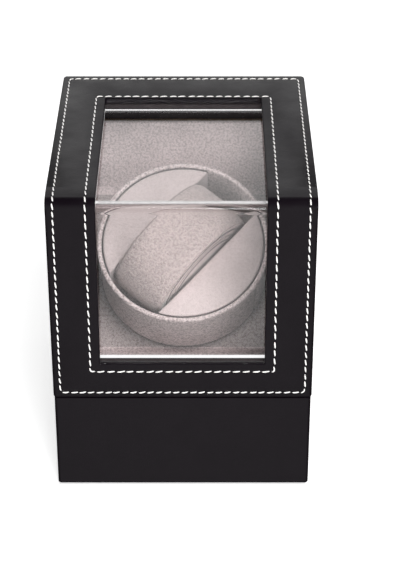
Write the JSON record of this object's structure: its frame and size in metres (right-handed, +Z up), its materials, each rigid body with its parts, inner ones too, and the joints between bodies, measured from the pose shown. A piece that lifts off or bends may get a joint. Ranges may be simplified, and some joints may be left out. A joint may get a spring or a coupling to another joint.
{
  "type": "watch winder box",
  "caption": "Leatherette-covered box with a windowed lid hinged at the back, and a tilted, motor-turned cup that holds a watch on a cushion.",
  "frame": {"origin": "middle of the footprint's bounding box, on the surface that the feet rest on", "axes": "+Z up; the window faces -Y and the hinges are at +Y; +X is the right side seen from the front"},
  "size_m": [0.125, 0.144, 0.161],
  "materials": {
    "leatherette": "black grained leatherette with white saddle stitching",
    "board": "bare fibreboard",
    "black_board": "fibreboard stained and lined black",
    "felt": "black felt",
    "rubber": "black rubber",
    "velvet": "cream velveteen with a short nap",
    "nickel": "nickel-plated steel",
    "brass": "turned brass",
    "gear_plastic": "moulded acetal",
    "black_plastic": "moulded black plastic",
    "circuit": "green solder mask",
    "acrylic": "clear polished acrylic",
    "steel": "plain steel"
  },
  "bodies": {
    "base": {"base_leatherette": "leatherette", "base_carcass": "board", "bottom_board": "board", "underside_felt": "felt", "rubber_foot_1": "rubber", "rubber_foot_2": "rubber", "rubber_foot_3": "rubber", "rubber_foot_4": "rubber", "console_velvet": "velvet", "ledge_board": "board", "slope_board": "board", "back_board": "board", "console_cheek_left": "board", "console_cheek_right": "board", "shaft_bushing": "brass", "gearbox_plate_upper": "steel", "gearbox_plate_lower": "steel", "gearbox_spacer_1": "brass", "gearbox_spacer_2": "brass", "gearbox_spacer_3": "brass", "gearbox_spacer_4": "brass", "idler_axle": "steel", "motor_can": "steel", "motor_end_cap": "black_plastic", "circuit_board": "circuit", "supply_jack": "black_plastic", "jack_nut": "nickel", "mode_switch": "black_plastic", "hinge_base_leaf_left": "nickel", "hinge_base_leaf_right": "nickel", "hinge_pin_left": "nickel", "hinge_pin_right": "nickel", "base_hinge_screw_1": "nickel", "base_hinge_screw_2": "nickel", "base_hinge_screw_3": "nickel", "base_hinge_screw_4": "nickel"},
    "lid": {"lid_leatherette": "leatherette", "lid_carcass": "black_board", "window_pane": "acrylic", "window_retainer": "black_board", "hinge_lid_leaf_left": "nickel", "hinge_lid_leaf_right": "nickel", "lid_hinge_screw_1": "nickel", "lid_hinge_screw_2": "nickel", "lid_hinge_screw_3": "nickel", "lid_hinge_screw_4": "nickel"},
    "drum": {"drum_cup": "velvet", "pad_left": "velvet", "pad_right": "velvet", "drum_hub": "gear_plastic", "drum_screw": "steel", "output_shaft": "steel", "output_gear": "gear_plastic"},
    "pillow": {"watch_pillow": "velvet"},
    "idler": {"idler_gear": "gear_plastic"},
    "rotor": {"motor_pinion": "brass", "motor_armature": "steel"},
    "knob": {"mode_knob": "black_plastic"}
  },
  "joints": [
    {"name": "lid_hinge", "type": "hinge", "parent": "base", "child": "lid", "pos_m": [0, 0.0701, 0.0532], "axis": [-1, 0, 0], "range_deg": [0, 95]},
    {"name": "drum_spin", "type": "hinge", "parent": "base", "child": "drum", "pos_m": [0, -0.002, 0.101], "axis": [0, -0.5736, 0.8192], "continuous": true},
    {"name": "pillow_lift", "type": "slide", "parent": "drum", "child": "pillow", "axis": [0, -0.5736, 0.8192], "range_m": [0, 0.022]},
    {"name": "idler_spin", "type": "hinge", "parent": "base", "child": "idler", "pos_m": [0.01299, -0.00814, 0.0967], "axis": [0, -0.5736, 0.8192], "continuous": true},
    {"name": "rotor_spin", "type": "hinge", "parent": "base", "child": "rotor", "pos_m": [0, -0.01429, 0.0924], "axis": [0, -0.5736, 0.8192], "continuous": true},
    {"name": "mode_knob_turn", "type": "hinge", "parent": "base", "child": "knob", "pos_m": [-0.028, 0.069, 0.022], "axis": [0, 1, 0], "range_deg": [0, 90]}
  ],
  "couplings": [
    {"joint": "idler_spin", "follows": "drum_spin", "ratio": -4},
    {"joint": "rotor_spin", "follows": "drum_spin", "ratio": 16}
  ]
}
